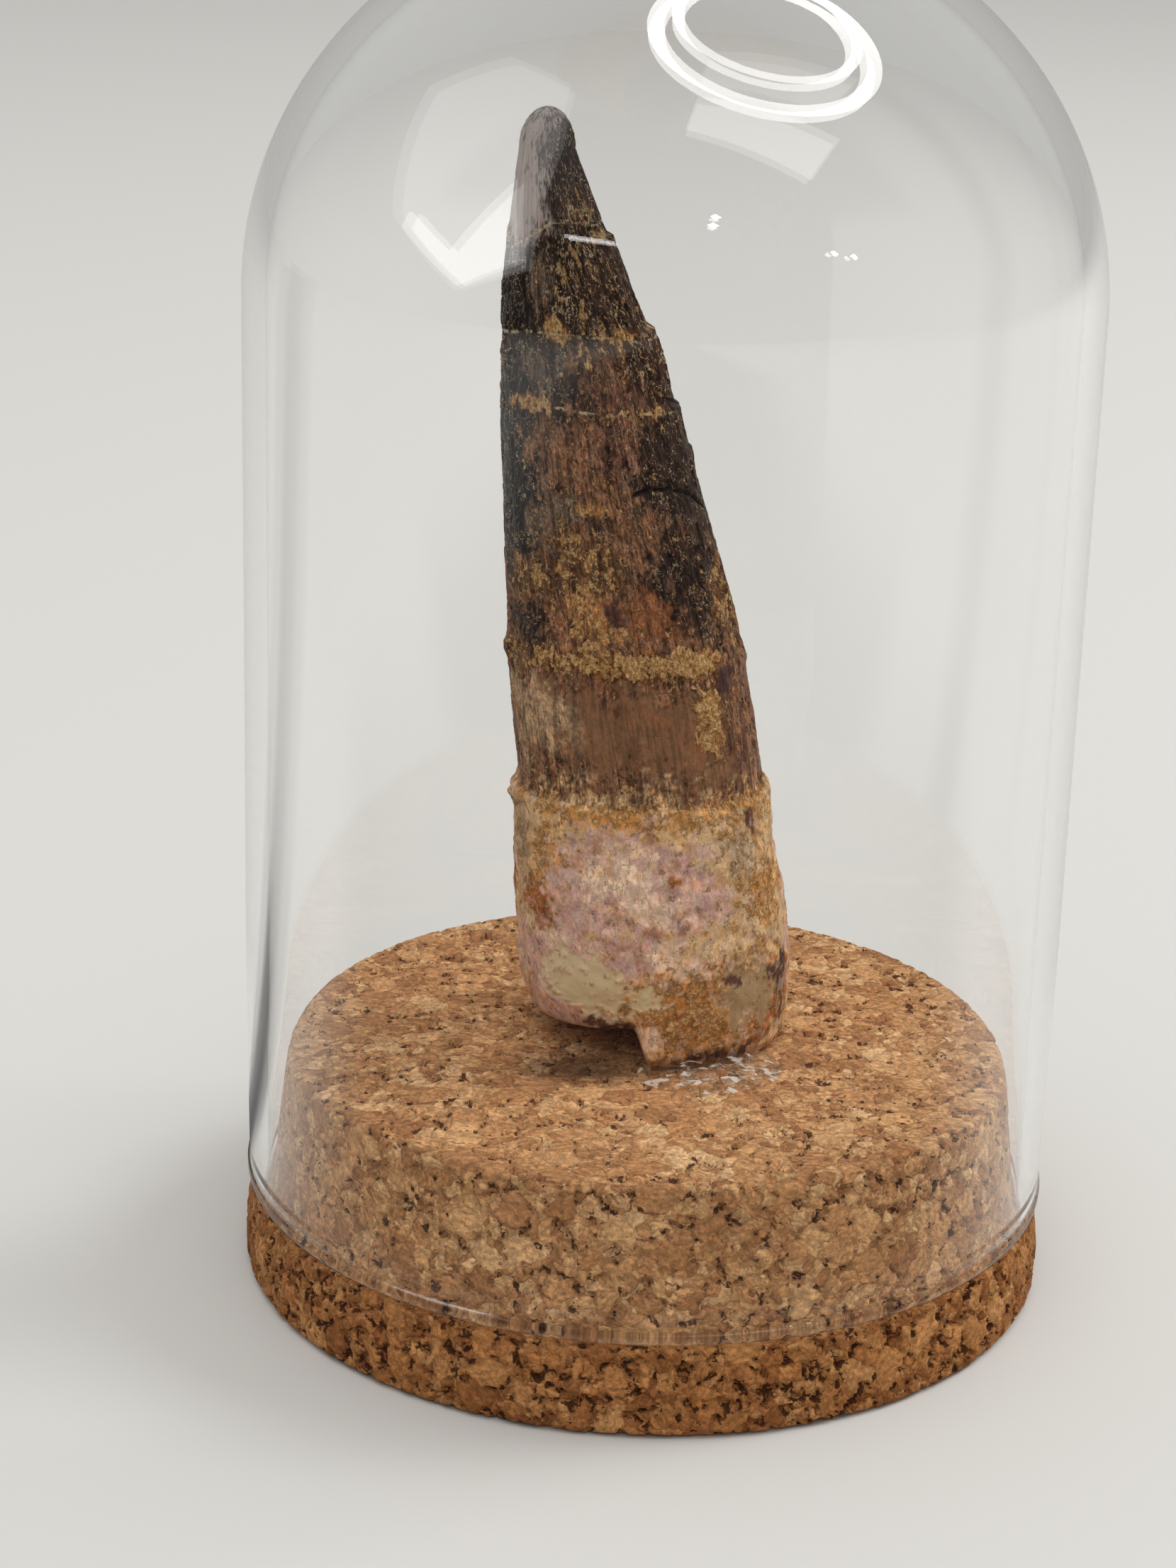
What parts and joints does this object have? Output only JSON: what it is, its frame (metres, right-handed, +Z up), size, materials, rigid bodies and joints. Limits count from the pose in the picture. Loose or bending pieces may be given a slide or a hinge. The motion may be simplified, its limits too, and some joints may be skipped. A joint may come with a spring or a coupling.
{
  "type": "fossil spinosaurus tooth in a glass dome",
  "caption": "Curved conical fossil tooth with a lumpy root, glued upright on a stepped cork base that a round-topped glass bell jar fits over.",
  "frame": {"origin": "middle of the cork base's flat underside", "axes": "+Z up along the dome's axis, -Y to the front of the tooth as displayed, +X to its right"},
  "size_m": [0.0762, 0.0762, 0.1274],
  "materials": {
    "cork": "agglomerated cork granules, unsealed, with small dark voids",
    "glass": "clear blown glass, smooth, with a fire-polished rim",
    "fossil": "glossy dark brown enamel with ochre matrix in its cracks, over a matt mauve and ochre root",
    "glue": "clear glue, glossy"
  },
  "bodies": {
    "root": {"cork_base": "cork", "glass_dome": "glass", "tooth": "fossil", "glue": "glue"}
  },
  "joints": []
}
